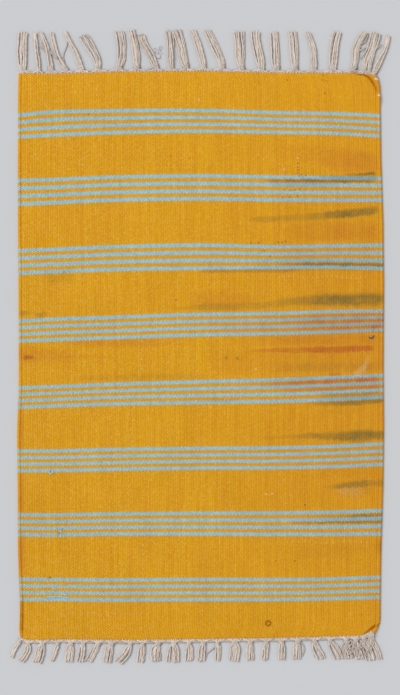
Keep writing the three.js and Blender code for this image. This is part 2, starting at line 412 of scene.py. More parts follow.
# The blue lines, counted in whole picks.
line_edge = LINE_PICKS - 0.5
band_edge = (LINES_IN_BAND - 1) * LINE_PERIOD + line_edge
in_band = add(nodes, "ShaderNodeMath", [bead, LINE_PICKS / 2 - FIRST_LINE], operation="ADD")
in_band = add(nodes, "ShaderNodeMath", [in_band, float(BAND_PERIOD)], operation="FLOORED_MODULO")
in_line = add(nodes, "ShaderNodeMath", [in_band, float(LINE_PERIOD)], operation="FLOORED_MODULO")
in_band = add(nodes, "ShaderNodeMath", [in_band, band_edge], operation="LESS_THAN")
in_line = add(nodes, "ShaderNodeMath", [in_line, line_edge], operation="LESS_THAN")
is_blue = add(nodes, "ShaderNodeMath", [in_band, in_line], operation="MULTIPLY")

# What varies: each bead, long streaks down each rib, blotches some 70 mm across, and specks of 3 mm.
cell = add(nodes, "ShaderNodeCombineXYZ", [rib, bead, 0.0])
by_bead = add(nodes, "ShaderNodeTexWhiteNoise", [cell], noise_dimensions="3D").outputs[0]
streak = add(nodes, "ShaderNodeMath", [pick, 0.012], operation="MULTIPLY")
streak = add(nodes, "ShaderNodeCombineXYZ", [rib, streak, 8.1])
streak = add(nodes, "ShaderNodeTexNoise", {"Vector": streak, "Scale": 0.9, "Detail": 1.0}).outputs[0]
place = add(nodes, "ShaderNodeTexCoord").outputs["Object"]
blotch = add(nodes, "ShaderNodeTexNoise", {"Vector": place, "Scale": 14.0, "Detail": 4.0}).outputs[0]
speckle = add(nodes, "ShaderNodeTexNoise", {"Vector": place, "Scale": 330.0, "Detail": 2.0}).outputs[0]

# Tone and painted shade: the random tone of beads, streaks, blotches and specks, all of these together, with
# painted shade from each bead's hump darkening it round its low edges, and all a little darker towards the
# near end.
bead_shade = add(nodes, "ShaderNodeMath", [is_blue, 0.12, 0.08], operation="MULTIPLY_ADD")
tone_and_shade = add(nodes, "ShaderNodeMath", [by_bead, -0.5], operation="ADD")
tone_and_shade = add(nodes, "ShaderNodeMath", [tone_and_shade, bead_shade], operation="MULTIPLY")
# The hump term is painted shade: each bead is darker where it is low, in the crevice round it.
for part, amount in ((speckle, 0.2), (streak, 0.16), (blotch, 0.14), (hump, 0.5)):
    tone_and_shade = add(nodes, "ShaderNodeMath", [part, amount, tone_and_shade], operation="MULTIPLY_ADD")
tone_and_shade = add(nodes, "ShaderNodeMath", [tone_and_shade, 0.372], operation="ADD")
x_y_z = add(nodes, "ShaderNodeSeparateXYZ", [place]).outputs
# A little darker towards the near end.
darker_to_near_end = add(nodes, "ShaderNodeMapRange", [x_y_z[1], -0.47, 0.45, 0.955, 1.01])
tone_and_shade = add(nodes, "ShaderNodeMath", [tone_and_shade, darker_to_near_end], operation="MULTIPLY")

# Two mustards in streaks, with pale specks that are strongest on the left.
palest = add(nodes, "ShaderNodeMapRange", [x_y_z[0], -0.3, 0.3, 0.62, 0.3])
pale = add(nodes, "ShaderNodeMapRange", [speckle, 0.5, 0.78, 0.0, palest])
tinge = add(nodes, "ShaderNodeMapRange", [streak, 0.3, 0.7])
tinge = {0: tinge, 6: linear(ORANGE_MUSTARD), 7: linear(MUSTARD)}
yellow = add(nodes, "ShaderNodeMix", tinge, data_type="RGBA").outputs[2]
yellow = {0: pale, 6: yellow, 7: linear(PALE_YARN)}
yellow = add(nodes, "ShaderNodeMix", yellow, data_type="RGBA").outputs[2]
colour = {0: is_blue, 6: yellow, 7: linear(BLUE)}
colour = add(nodes, "ShaderNodeMix", colour, data_type="RGBA").outputs[2]

# Old marks have bled along the wefts, mostly in from the right-hand side. Each kind has the colour that
# it gives the yellow and the blue weft: dyes and soil that have bled, worn and pale places, bits of lint
# that cling to the edge, and painted shade for the dark of folds and creases.
STAINS = {
    "madder": ("c2672e", "94978f"),
    "indigo": ("8a7236", "6a8f98"),
    "soil": ("8a6238", "809fa7"),
    "worn": ("e0c08a", "c5cfc9"),
    "lint": ("e4ddd8", "e4ddd8"),
    # painted shade in folds and creases
    "fold_shade": ("b26c0c", "8aa6ae"),
}

# Each mark's points from left to right: x, y, half its width in mm, and how strong it is there.
MARKS = {
    "madder": [
        ((110, 340, 20, 0), (175, 337, 26, 0.2), (240, 326, 31, 0.34), (290, 322, 29, 0.37),
         (302, 322, 22, 0.1)),
        ((115, 204, 22, 0), (160, 206, 26, 0.2), (215, 207, 28, 0.34), (288, 207, 28, 0.36),
         (300, 207, 24, 0.15)),
        ((110, 165, 26, 0), (165, 165, 30, 0.2), (306, 165, 30, 0.25)),
        ((170, 110, 14, 0), (215, 110, 18, 0.2), (300, 112, 18, 0.2)),
        ((-25, 97, 11, 0), (25, 95, 18, 0.2), (55, 95, 18, 0.2), (120, 93, 11, 0)),
        ((-30, 51, 20, 0), (60, 51, 22, 0.18), (150, 52, 26, 0.32), (200, 53, 27, 0.6),
         (306, 56, 27, 0.65)),
        ((50, 24, 12, 0), (105, 25, 15, 0.2), (160, 26, 16, 0.36), (270, 27, 16, 0.38),
         (306, 27, 14, 0.28)),
        ((75, 7, 3, 0), (112, 8.5, 6, 0.5), (165, 9, 8, 0.62), (240, 10.5, 9.5, 0.8),
         (280, 12.5, 9, 0.78), (294, 13, 8, 0.3), (306, 13, 8, 0.25)),
        ((10, -12, 28, 0), (60, -12, 30, 0.15), (200, -5, 38, 0.24), (306, -5, 38, 0.28)),
        ((214, -31, 4, 0), (221, -31, 5, 0.45), (230, -31.5, 5, 0.45), (238, -31.5, 4, 0)),
        ((90, -48.5, 5, 0), (150, -46.5, 8, 0.5), (200, -44, 9, 0.7), (290, -40, 9, 0.7),
         (302, -40, 7, 0.3)),
        ((115, -58.5, 5, 0), (160, -57, 7, 0.35), (220, -55, 8, 0.55), (290, -51.5, 8, 0.55),
         (302, -51, 6, 0.3)),
        ((60, -49, 14, 0), (130, -47, 16, 0.3), (290, -42, 17, 0.45), (306, -41, 15, 0.3)),
        ((150, -200, 16, 0), (220, -200, 20, 0.2), (306, -200, 20, 0.22)),
        ((170, -318, 9, 0), (230, -318, 12, 0.15), (304, -318, 12, 0.2)),
        ((-294, -3.5, 5, 0), (-288, -3.5, 6, 0.85), (-282, -3.5, 6, 0.85), (-273, -3.3, 4.4, 0.3),
         (-200, -2.5, 4.4, 0.2), (-130, -1.5, 3, 0)),
        ((-304, 2, 16, 0.15), (-280, 0, 20, 0.25), (-240, -1, 18, 0.18), (-190, -2, 11, 0)),
        ((-235, 21, 6, 0), (-200, 21, 9, 0.22), (-110, 21, 10, 0.25), (-50, 22, 9, 0.12), (-5, 23, 6, 0)),
        ((-301, -330, 58, 0), (-297, -330, 58, 0.4), (-292, -330, 58, 0)),
        ((-301, -230, 56, 0), (-297, -230, 56, 0.35), (-292, -230, 56, 0)),
        ((-301, -130, 56, 0), (-297, -130, 56, 0.3), (-292, -130, 56, 0)),
    ],
    "indigo": [
        ((232, 302, 2, 0), (262, 302, 3, 0.55), (288, 303, 4, 0.8), (295, 303, 3, 0)),
        ((190, 297, 6, 0), (245, 296.5, 6, 0.5), (288, 296, 6, 0.5), (298, 296, 5, 0)),
        ((160, 291.5, 3, 0), (195, 291.5, 4, 0.5), (245, 291, 4.6, 0.8), (280, 291, 4.6, 0.7),
         (296, 291, 3, 0)),
        ((78, 226.5, 4, 0), (102, 227, 7, 0.3), (160, 230, 8, 0.3), (195, 232, 9, 0.4),
         (218, 234, 9.4, 0.65), (262, 238.5, 10, 0.8), (289, 241.5, 10, 0.78), (298, 243, 8, 0.35),
         (303, 243, 7, 0)),
        ((70, 152, 13, 0), (125, 152, 15, 0.15), (290, 151, 15, 0.25), (306, 151, 13, 0.15)),
        ((118, 152.5, 3, 0), (150, 152.3, 4, 0.4), (220, 152, 4.6, 0.75), (306, 151, 4.6, 0.7)),
        ((-80, 79, 4, 0), (-20, 80, 6, 0.12), (12, 82, 9, 0.2), (85, 82.5, 9, 0.22), (110, 84, 8, 0.3),
         (150, 90, 10, 0.36), (190, 92, 13, 0.62), (225, 92.6, 14.4, 0.8), (290, 93.4, 14.6, 0.8),
         (306, 94, 13, 0.5)),
        ((195, -66, 4, 0), (240, -65, 5, 0.4), (285, -63, 5, 0.4), (300, -62, 4, 0.2)),
        ((165, -78.5, 3, 0), (200, -79.5, 5, 0.35), (242, -79.5, 7, 0.62), (280, -77, 7, 0.7),
         (297, -75.5, 6, 0.7), (307, -75, 5, 0.5)),
        ((190, -73, 6, 0), (230, -73, 9, 0.25), (304, -70, 9, 0.3)),
        ((65, -137, 3, 0), (110, -137, 4, 0.12), (160, -135, 5, 0.3), (185, -133.5, 7, 0.45),
         (215, -134.5, 9.4, 0.6), (240, -134.2, 11.6, 0.75), (262, -133.6, 13.6, 0.8),
         (283, -133.2, 13.2, 0.8), (294, -133, 10.4, 0.75), (310, -133, 10.4, 0.8)),
        ((203, -219, 2.4, 0), (225, -218, 5, 0.35), (245, -216, 7.5, 0.55), (265, -214, 8.5, 0.62),
         (279, -213.3, 8.5, 0.6), (288, -213, 7, 0.35), (306, -213, 7, 0.4)),
        ((145, -273, 9, 0), (190, -273, 12, 0.12), (250, -272, 12, 0.25), (306, -272, 12, 0.3)),
        ((210, -268.5, 3, 0), (245, -268.3, 4.4, 0.35), (265, -267, 5, 0.6), (306, -266, 5, 0.65)),
        ((-302, 71, 4, 0.1), (-292, 70, 6, 0.35), (-279, 72, 4, 0.15), (-268, 67, 7, 0.35),
         (-252, 69, 5, 0)),
        ((-262, 133, 9, 0), (-246, 130, 14, 0.14), (-226, 133, 16, 0.16), (-205, 130, 10, 0)),
    ],
    "soil": [
        ((103, 291.5, 3, 0), (135, 291.8, 4.2, 0.5), (165, 291.8, 4.2, 0.6), (205, 291.5, 4, 0.3),
         (228, 291, 3.4, 0)),
        ((115, 286, 6, 0), (150, 285.8, 7, 0.35), (205, 285.5, 7, 0.3), (245, 285, 5, 0)),
        ((0, 140.5, 3, 0), (25, 141, 5, 0.35), (145, 142, 5, 0.35), (175, 142.5, 3, 0)),
        ((-15, 80, 7, 0), (22, 80, 9, 0.22), (50, 80, 9, 0.2), (80, 81, 8, 0.05), (108, 83, 6, 0)),
        ((105, -19, 9, 0), (150, -20, 12, 0.15), (285, -19, 12, 0.2), (302, -19, 10, 0.1)),
        ((12, -75.5, 3, 0), (28, -75.5, 4, 0.25), (50, -75.5, 4, 0.25), (75, -75, 3, 0)),
        ((226, -226, 6, 0), (248, -226, 14, 0.12), (268, -226, 14, 0.12), (290, -224, 7, 0)),
        ((145, -278.5, 2, 0), (180, -278.3, 3, 0.35), (296, -277.3, 3.2, 0.5), (306, -277, 2.4, 0.2)),
        ((145, -328, 11, 0), (182, -328, 16, 0.07), (232, -327, 16, 0.07), (265, -327, 11, 0)),
        ((-215, -37, 5, 0), (-160, -37, 8, 0.15), (-25, -35, 8, 0.15), (25, -35, 5, 0)),
        ((286, 44, 8, 0), (289, 44, 10, 0.5), (292, 44, 8, 0)),
    ],
    "worn": [
        ((256, -33, 6, 0), (266, -28, 10, 0.3), (275, -20, 13, 0.3), (281, -8, 14, 0.14),
         (286, -3, 10, 0)),
        ((226, -226, 4, 0), (243, -226, 11, 0.14), (262, -228, 12, 0.14), (276, -226, 5, 0)),
    ],
    # Painted shade over a short stretch of each side edge.
    "fold_shade": [
        ((-300, -435, 44, 0), (-295.5, -435, 44, 0.7), (-291, -435, 44, 0)),
        ((290, -320, 12, 0), (299, -320, 16, 0.3), (303, -320, 16, 0.5)),
    ],
}

# Single spots: what it is, its radius in mm, how strong it is, and the x and y of each.
SPOTS = [
    ("worn", 2.1, 1, (163.3, 329.2), (140, 310), (-1.7, 425.8), (110, -230.8), (120, -230), (83, 157)),
    ("worn", 1.7, 0.8, (105, 327.5), (-97.3, 24), (-97, 9), (-97.5, -6), (-97, -22), (-95, -316),
     (-94.5, -331)),
    ("worn", 1.9, 0.8, (-275, 335), (-195, 318), (84, 152), (87, 148), (93, -23), (-257, -384)),
    ("lint", 1.9, 1, (292.5, 461), (295.5, 460.3), (297.5, 433.5), (300, 433.8)),
    ("soil", 1.7, 1, (-185.8, 402.5), (-40, 92.5), (175, -249), (-296, -456), (208, 437)),
    ("soil", 1.8, 0.9, (130, 189.2), (136.7, 188.7), (142.5, 190), (106.7, 174.2), (116.7, 165.8),
     (85, 187), (98, 188), (163, 320), (162.5, 314), (163.5, 309), (163, 304), (165, 299), (169, 301)),
    ("soil", 1.8, 0.8, (172, 298), (176, 300), (140, 276), (150, 275.5), (158, 276), (166, 277),
     (138, 264), (150, 264), (163, 265.5), (145, 459), (158, -342.5)),
    ("madder", 2.4, 0.5, (204, 459), (211, 457), (205, 467), (-48, 333), (-18, 329), (186, -312),
     (206, -318), (127, -342.5)),
    ("indigo", 1.9, 0.9, (-218, -276.5), (-249, -370), (-233, -296), (-229, -289.5)),
    ("indigo", 3.6, 0.5, (43.5, -4), (62.5, -5), (-246, 124), (-226, 139)),
]

# Rows of pale flecks where a pick lies looser than the rest: the first fleck's x, the y, how far apart the
# flecks are and how many they are.
FLECKS = [(-230, -430, 11, 14), (145, -311, 9.5, 15), (132, 131, 8, 19)]
FLECK = ("worn", 2, 0.4)
FLECK_STRAY = 1.5
for first, y, apart, count in FLECKS:
    strays = [FLECK_STRAY * math.sin(7 * n) for n in range(count)]
    SPOTS.append((*FLECK, *((first + apart * n, y + stray) for n, stray in enumerate(strays))))

# Each pick has carried a dye a little further or less far than the next one, and each bead of it has
# taken it up more or less, so a mark's ends and sides are ragged.
MARK_X = 310  # marks lie within this far of the middle across the cloth
MARK_Y = 500  # and along it
MARK_WIDEST = 60  # no mark is wider than this to either side of its middle
MARK_SOLID = 0.25  # share of that width where a mark has its full strength
RAGGED_ENDS = 16  # how far a mark's ends differ from pick to pick
WAVY_SIDES = 6
BEAD_STEP = 1.6  # how far its sides differ from bead to bead
by_pick = add(nodes, "ShaderNodeTexWhiteNoise", [bead], noise_dimensions="1D").outputs[0]
by_pick = add(nodes, "ShaderNodeMath", [by_pick, RAGGED_ENDS * MM, x_y_z[0]], operation="MULTIPLY_ADD")
left_end = (RAGGED_ENDS / 2 - MARK_X) * MM
right_end = (RAGGED_ENDS / 2 + MARK_X) * MM
mark_x = add(nodes, "ShaderNodeMapRange", [by_pick, left_end, right_end, 0.0, 1.0])
mark_x = add(nodes, "ShaderNodeCombineColor", [mark_x, mark_x, mark_x]).outputs[0]
uneven_y = add(nodes, "ShaderNodeTexNoise", {"Vector": place, "Scale": 110.0, "Detail": 3.0}).outputs[0]
mark_y = add(nodes, "ShaderNodeMath", [uneven_y, WAVY_SIDES * MM, x_y_z[1]], operation="MULTIPLY_ADD")
mark_y = add(nodes, "ShaderNodeMath", [by_bead, BEAD_STEP * MM, mark_y], operation="MULTIPLY_ADD")
from_end = (MARK_Y - (WAVY_SIDES + BEAD_STEP) / 2) * MM
mark_y = add(nodes, "ShaderNodeMath", [mark_y, from_end], operation="ADD").outputs[0]
patchy = add(nodes, "ShaderNodeTexNoise", {"Vector": place, "Scale": 60.0, "Detail": 4.0}).outputs[0]
patchy = add(nodes, "ShaderNodeMapRange", [patchy, 0.3, 0.65, 0.45, 0.9])
patchy = add(nodes, "ShaderNodeMath", [by_bead, 0.4, patchy], operation="MULTIPLY_ADD")
patchy = add(nodes, "ShaderNodeMath", [across, 0.4, patchy], operation="MULTIPLY_ADD")


def bled(points):
    """A mark's strength all over the cloth, from curves across it for its middle, width and strength."""
    curves = add(nodes, "ShaderNodeRGBCurve", {"Color": mark_x})
    curves.mapping.extend = "HORIZONTAL"
    spans = ((-MARK_X, 2 * MARK_X), (-MARK_Y, 2 * MARK_Y), (0, MARK_WIDEST), (0, 1))
    shares = [[(value - low) / span for value, (low, span) in zip(point, spans)] for point in points]
    for column, curve in enumerate(curves.mapping.curves[:3], start=1):
        ends = (shares[0], shares[-1])
        for handle, share in zip(curve.points, ends):
            handle.location = (share[0], share[column])
        for share in shares[1:-1]:
            curve.points.new(share[0], share[column])
        for handle in curve.points:
            handle.handle_type = "AUTO_CLAMPED"
    curves.mapping.update()
    middle, half, strong = add(nodes, "ShaderNodeSeparateColor", [curves]).outputs
    aside = add(nodes, "ShaderNodeMath", [mark_y, middle], operation="SUBTRACT")
    aside = add(nodes, "ShaderNodeMath", [aside], operation="ABSOLUTE")
    aside = add(nodes, "ShaderNodeMath", [aside, half], operation="DIVIDE")
    widest = MARK_WIDEST * MM
    cover = [aside, MARK_SOLID * widest, widest, 1.0, 0.0]
    cover = add(nodes, "ShaderNodeMapRange", cover, interpolation_type="SMOOTHSTEP")
    return add(nodes, "ShaderNodeMath", [cover, strong], operation="MULTIPLY")


# A faint reddish haze lies over the right-hand side, fainter near the two ends and stronger at the edge.
plan = add(nodes, "ShaderNodeVectorMath", [place, (1, 1, 0)], operation="MULTIPLY")
off_middle = add(nodes, "ShaderNodeMath", [x_y_z[1]], operation="ABSOLUTE")
haze = add(nodes, "ShaderNodeMapRange", [off_middle, 0.2, 0.42, 0.2, 0.05])
haze = add(nodes, "ShaderNodeMapRange", [x_y_z[0], 0.0, 0.28, 0.0, haze])
by_edge = add(nodes, "ShaderNodeMapRange", [x_y_z[0], 0.255, 0.3, 0.0, 0.2])
haze = add(nodes, "ShaderNodeMath", [haze, by_edge], operation="MAXIMUM")

# Painted shade in each crease, darkest near the cloth's end.
crease_shade = add(nodes, "ShaderNodeAttribute", attribute_name="crease").outputs["Fac"]
fades = add(nodes, "ShaderNodeMapRange", [off_middle, 0.442, 0.456, 0.35, 1.0])
crease_shade = add(nodes, "ShaderNodeMath", [crease_shade, fades], operation="MULTIPLY")

# Each kind of mark is as strong as its strongest mark at a place, and they lie over one another.
strengths = {kind: 0.0 for kind in STAINS}
strengths["madder"] = haze
# Painted shade along the creases.
strengths["fold_shade"] = crease_shade
for kind, radius, strength, *spots in SPOTS:
    for x, y in spots:
        away = add(nodes, "ShaderNodeVectorMath", [plan, (x * MM, y * MM, 0)], operation="DISTANCE")
        spot = [away.outputs[1], 0.5 * radius * MM, radius * MM, strength, 0.0]
        spot = add(nodes, "ShaderNodeMapRange", spot)
        strengths[kind] = add(nodes, "ShaderNodeMath", [spot, strengths[kind]], operation="MAXIMUM")
for kind, marks in MARKS.items():
    for points in marks:
        mark = bled(points)
        strengths[kind] = add(nodes, "ShaderNodeMath", [mark, strengths[kind]], operation="MAXIMUM")
for kind, (on_yellow, on_blue) in STAINS.items():
    amount = add(nodes, "ShaderNodeMath", [strengths[kind], patchy], operation="MULTIPLY")
    stain = {0: is_blue, 6: linear(on_yellow), 7: linear(on_blue)}
    stain = add(nodes, "ShaderNodeMix", stain, data_type="RGBA").outputs[2]
    colour = add(nodes, "ShaderNodeMix", {0: amount, 6: colour, 7: stain}, data_type="RGBA").outputs[2]
colour = add(nodes, "ShaderNodeVectorMath", {0: colour, "Scale": tone_and_shade}, operation="SCALE")

# Fine fibres run along each bead, about 1.4 mm long and 0.4 mm apart.
fibre = add(nodes, "ShaderNodeMapping", [place, (0, 0, 0), (0, 0, 0), (700, 2600, 1)])
fibre = add(nodes, "ShaderNodeTexNoise", {"Vector": fibre, "Scale": 1.0, "Detail": 2.0}).outputs[0]
relief = add(nodes, "ShaderNodeMath", [fibre, 0.2, hump], operation="MULTIPLY_ADD")
bump = add(nodes, "ShaderNodeBump", {"Strength": 0.7, "Distance": 0.0007, "Height": relief})
surface = {
    "Base Color": colour,
    "Roughness": 0.92,
    "IOR": 1.5,
    "Specular IOR Level": 0.06,
    "Sheen Weight": 0.02,
    "Sheen Roughness": 0.5,
    "Normal": bump,
}
surface = add(nodes, "ShaderNodeBsdfPrincipled", surface)
add(nodes, "ShaderNodeOutputMaterial", [surface])

cloth = grown(cloth_start, ribs, dyed, "kilim_cloth")
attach(cloth, "root")
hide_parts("cloth")

# The fringe: the warps themselves, cut off beyond the weaving. They run along the cloth's edge to the
# nearest knot in groups of about nine, are tied there with one overhand knot, and lie loose beyond it.
YARN = 3  # thickness of two warps twisted together
YARNS_APART = 1.9  # a bundle has one yarn to this much of its width
RAGGED = 1.1  # how much longer or shorter than its bundle a yarn may be
LYING = 1.95  # height of a yarn's middle where it lies on the floor: yarns are thicker in places
FULLER = 1.22  # a bundle's row gives the width of its dense part, and all of it is this much wider
ROOTED = 1.5  # how far inside the cloth's edge a yarn starts
ROOT_HIGH = 1.9  # and how high there
ALONG_EDGE = (0.12, 0.35, 0.6, 0.82)  # shares of a yarn's way to its knot where its path has a point
KNOT_OUT = 7.2  # from the cloth's edge to a knot's middle
OPENS_WITHIN = 0.2  # share of its length in which a bundle opens beyond its knot
HEADING_STEPS = 120
HEADING_HIGH = 2.4

# Each bundle: the x of its middle in its knot, at three places along it and at its tip, its reach from
# the cloth, and how wide it lies beyond the knot and at its tip.
Bundle = namedtuple("Bundle", "knot near middle far tip reach wide tip_wide")
LONG_FRINGE = [
    (-296, -296.2, -297, -296, -295, 69, 14, 13),
    (-269, -270, -273.3, -275.8, -277.5, 68, 6.5, 8.5),
    (-248.5, -251, -255, -260.5, -267.5, 69, 10, 9),
    (-223.5, -231.7, -238.5, -242.5, -246, 68, 8.5, 9),
    (-197, -201.7, -207.5, -216.7, -223.3, 69, 9, 7),
    (-170, -170.8, -176.7, -185.3, -194, 59, 9, 14),
    (-136, -131.7, -130.8, -131.7, -134.5, 68, 11.5, 13),
    (-105.8, -105.5, -107.8, -110.5, -114.5, 69, 10.5, 10),
    (-73, -77.5, -85.5, -93.3, -98.5, 59, 9.5, 11),
    (-48.3, -48.3, -48.3, -47.8, -50, 68, 10, 14),
    (-23.3, -26.7, -30, -33.5, -38.5, 69, 11, 13),
    (5.8, 4.3, 0, -5, -11.7, 68, 10.5, 10),
    (36.7, 34.5, 26.7, 19.5, 11.5, 69, 11, 11),
    (69.5, 67.2, 67, 66, 65, 68, 12, 15),
    (101.7, 100.5, 96.2, 93.3, 92.5, 69, 14, 12),
    (127.5, 125.8, 125, 124, 123.3, 68, 12, 12),
    (158, 157.5, 156.7, 155.8, 154.2, 69, 11.5, 12),
    (190, 190.3, 190, 186.3, 180, 68, 11.5, 10),
    (221.7, 221.7, 223, 225.2, 229, 69, 12.5, 12),
    (255.5, 258.5, 259.5, 265, 274, 68, 11, 9),
    (273, 275.5, 281, 286, 290, 69, 9, 9),
    (282, 284, 288.5, 293.5, 296.5, 68, 6, 8),
    (291, 296.5, 303.8, 310, 312.3, 67, 10, 8),
]
SHORT_FRINGE = [
    (-300.3, -304, -308.5, -311, -314, 34, 5, 5),
    (-286.5, -287.5, -288.8, -292.5, -299, 36, 9.5, 9),
    (-263.3, -266, -267.5, -268.8, -272.5, 37, 12.5, 13),
    (-237.3, -238.5, -240.5, -242.5, -246.2, 36, 8, 7.5),
    (-215, -216.5, -217, -217.8, -218.5, 37, 12, 11),
    (-195, -196.5, -197.5, -198.5, -200.5, 36, 10, 9.5),
    (-170, -175, -178.5, -181.5, -186.5, 36, 10.5, 11),
    (-148, -151, -152.5, -153.5, -154.7, 37, 11.5, 12),
    (-116.7, -119.5, -123.5, -129, -137, 36, 9, 12),
    (-95.5, -96.7, -97.5, -98.5, -99.3, 37, 10.5, 11),
    (-70, -73.5, -75, -75, -73.5, 36, 12, 13),
    (-43.5, -44, -44.5, -45, -45.2, 37, 13, 19),
    (-18.3, -17.7, -18, -18.5, -19.2, 36, 11, 12),
    (5.6, 4, 3.2, 2.7, 1.2, 37, 10, 10.5),
    (29.8, 30, 30, 29.6, 28.8, 36, 8.5, 7.5),
    (57.5, 58.3, 58.2, 57.6, 56.5, 37, 14, 14),
    (84, 83.5, 83.3, 83.5, 84, 36, 11, 10.5),
    (110.8, 109, 107.7, 106.8, 105.3, 36, 10, 11.5),
    (135.8, 136.6, 136.3, 136, 135.7, 36, 9.5, 9),
    (163.3, 162, 161.7, 161.5, 160.7, 36, 10.5, 12),
    (190.8, 192.5, 195, 198.5, 202, 37, 9.5, 13),
    (217.5, 221.5, 225, 228.3, 232, 37, 11, 15),
    (243.8, 244.5, 245.5, 246.8, 248.5, 37, 11, 13),
    (259.5, 261, 263, 265, 267.5, 38, 11, 14),
    (273.5, 276, 279, 281.5, 284.5, 40, 11, 14),
    (285, 286, 290.5, 293.5, 296, 46, 10, 13),
]

# Single yarns that have come out of their bundle: x, distance from the cloth and height, in mm.
LONG_STRAYS = [
    [(-237, 24, 5), (-247, 33, 5.5), (-257, 37.5, 5), (-264, 43, 3), (-269, 48, 1.5)],
    [(-238, 27, 5), (-248, 36, 5.5), (-256, 40, 5), (-261, 46, 4), (-264, 52, 4)],
    [(-267.5, 32, 1.3), (-270, 44, 1.3), (-273, 50, 1.3), (-271, 60, 1.3)],
    [(-225, 12, 4), (-228, 30, 1.3), (-222, 47, 1.3), (-221, 60, 1.3)],
    [(264, 36, 4), (272, 41, 4.5), (281, 45, 4)],
    [(267, 24, 4), (273, 30, 4.5), (278, 39, 4)],
    [(266, 48, 4), (276, 54, 3), (281, 68, 1.3)],
    [(287, 34, 4), (294, 45, 4), (302, 52, 4)],
    [(-72, 10, 5), (-80, 6, 4.5), (-88, 3.6, 3.5)],
    [(-120, 2.5, 3.5), (-128, 4, 4.5), (-136, 9, 4)],
]
SHORT_STRAYS = [
    [(-122, 3.3, 4), (-108, 4.3, 4.5), (-98, 5, 5), (-93, 10, 4)],
    [(26.5, 11, 4), (20, 18, 1.3), (12, 25, 1.3), (9, 33, 1.3)],
    [(166, 7, 4), (172, 13, 1.3), (174, 22, 1.3), (170, 32, 1.3)],
    [(-41, 12, 4), (-38, 24, 1.3), (-36.5, 35, 1.3)],
    [(-70, 12, 4), (-66, 24, 1.3), (-65, 36, 1.3)],
    [(194, 10, 4), (192, 22, 1.3), (191, 33, 1.3)],
    [(258, 9, 5), (251, 15, 4), (250, 28, 1.3), (254, 36, 1.3)],
    [(270, 14, 4), (262, 20, 4), (258, 30, 1.3)],
]

# More such yarns lie in a tangle over the shorter fringe's last bundles on the right. Each point of their
# way: its distance from the cloth, its height, and how far it may lean to either side.
TANGLED = 13  # yarns
TANGLE_FROM = 245  # x of the first of them
TANGLE_APART = 3.2
TANGLE_WAY = [(7, 4.4, 5), (15, 5.2, 8), (24, 5.2, 8), (34, 4, 5)]

# Two bundles of the longer fringe end short of the others, in a fuzz of fibres. A wisp of lint lies
# between two others: the middle, the radius and the first and last angle of each of its hairs.
FRAYED = 12  # fibres to a bundle
SHORT_OF_OTHERS = 60  # these bundles reach less far than this
LINT_STEPS = 8
LINT_HIGH = 0.8
LINT = [
    (-72, 498, 7, 0.2, 3.6),
    (-68, 503, 8, 2.2, 5.2),
    (-75, 506, 6, -0.8, 2.2),
    (-65, 512, 3.4, 0, 5.2),
    (-70, 500, 4.5, -2.6, 1.2),
    (-60, 509, 6, 2.4, 4.6),
]

# Each fringe: its bundles, which way it points, its first and last warp, where along a bundle the places
# in its row are, how many points a yarn has beyond its knot, how far out its heading passes lie, how far
# its knots draw a bundle in, and its strays.
Fringe = namedtuple("Fringe", "bundles outward first last places steps passes drawn_in strays")
FAR = Fringe(
    [Bundle(*row) for row in LONG_FRINGE],
    outward=1,
    first=-301,
    last=292,
    places=(0.1, 0.29, 0.54, 0.77, 1),
    steps=6,
    passes=(1.2, 3.1),
    drawn_in=0.6,
    strays=LONG_STRAYS,
)
NEAR = Fringe(
    [Bundle(*row) for row in SHORT_FRINGE],
    outward=-1,
    first=-298.5,
    last=290,
    places=(0.21, 0.42, 0.61, 0.79, 1),
    steps=4,
    passes=(1.2, 3, 4.8),
    drawn_in=0.45,
    strays=SHORT_STRAYS,
)
FRINGES = {"fringe_long": FAR, "fringe_short": NEAR}


def edge_y(x, outward):
    """The y of the cloth's far end, where outward is 1, or of its near end."""
    row = SIDES[-1] if outward > 0 else SIDES[0]
    return between(ENDS, (x - row[1]) / (row[2] - row[1]), 2 if outward > 0 else 1)


def uneven(*seeds):
    """A fixed number between -1 and 1 for each set of seeds."""
    value = math.sin(sum(seed * weight for seed, weight in zip(seeds, (12.9898, 78.233, 37.719)))) * 43758.5
    return 2 * (value - math.floor(value)) - 1


def heading(fringe, out):
    """A pass of undyed yarn along the cloth's end, in mm."""
    path = []
    for n in range(HEADING_STEPS + 1):
        x = fringe.first + (fringe.last - fringe.first) * n / HEADING_STEPS
        y = edge_y(x, fringe.outward) + fringe.outward * (out + 0.25 * uneven(out, n))
        path.append((x, y, HEADING_HIGH + 0.4 * uneven(out, n, 3) + curl(x, y)[0]))
    return path


def lie_of(fringe, bundle, t):
    """The x of a bundle's middle at a share of its reach, and the direction across it there."""
    middles = bundle[:5]
    slopes = slopes_of(fringe.places, middles)
    near = 0.05  # the direction is measured this share before and after
    ahead = smooth(fringe.places, middles, slopes, min(t + near, 1))
    behind = smooth(fringe.places, middles, slopes, t - near)
    across = Vector((bundle.reach * 2 * near, behind - ahead)).normalized()
    return smooth(fringe.places, middles, slopes, t), across


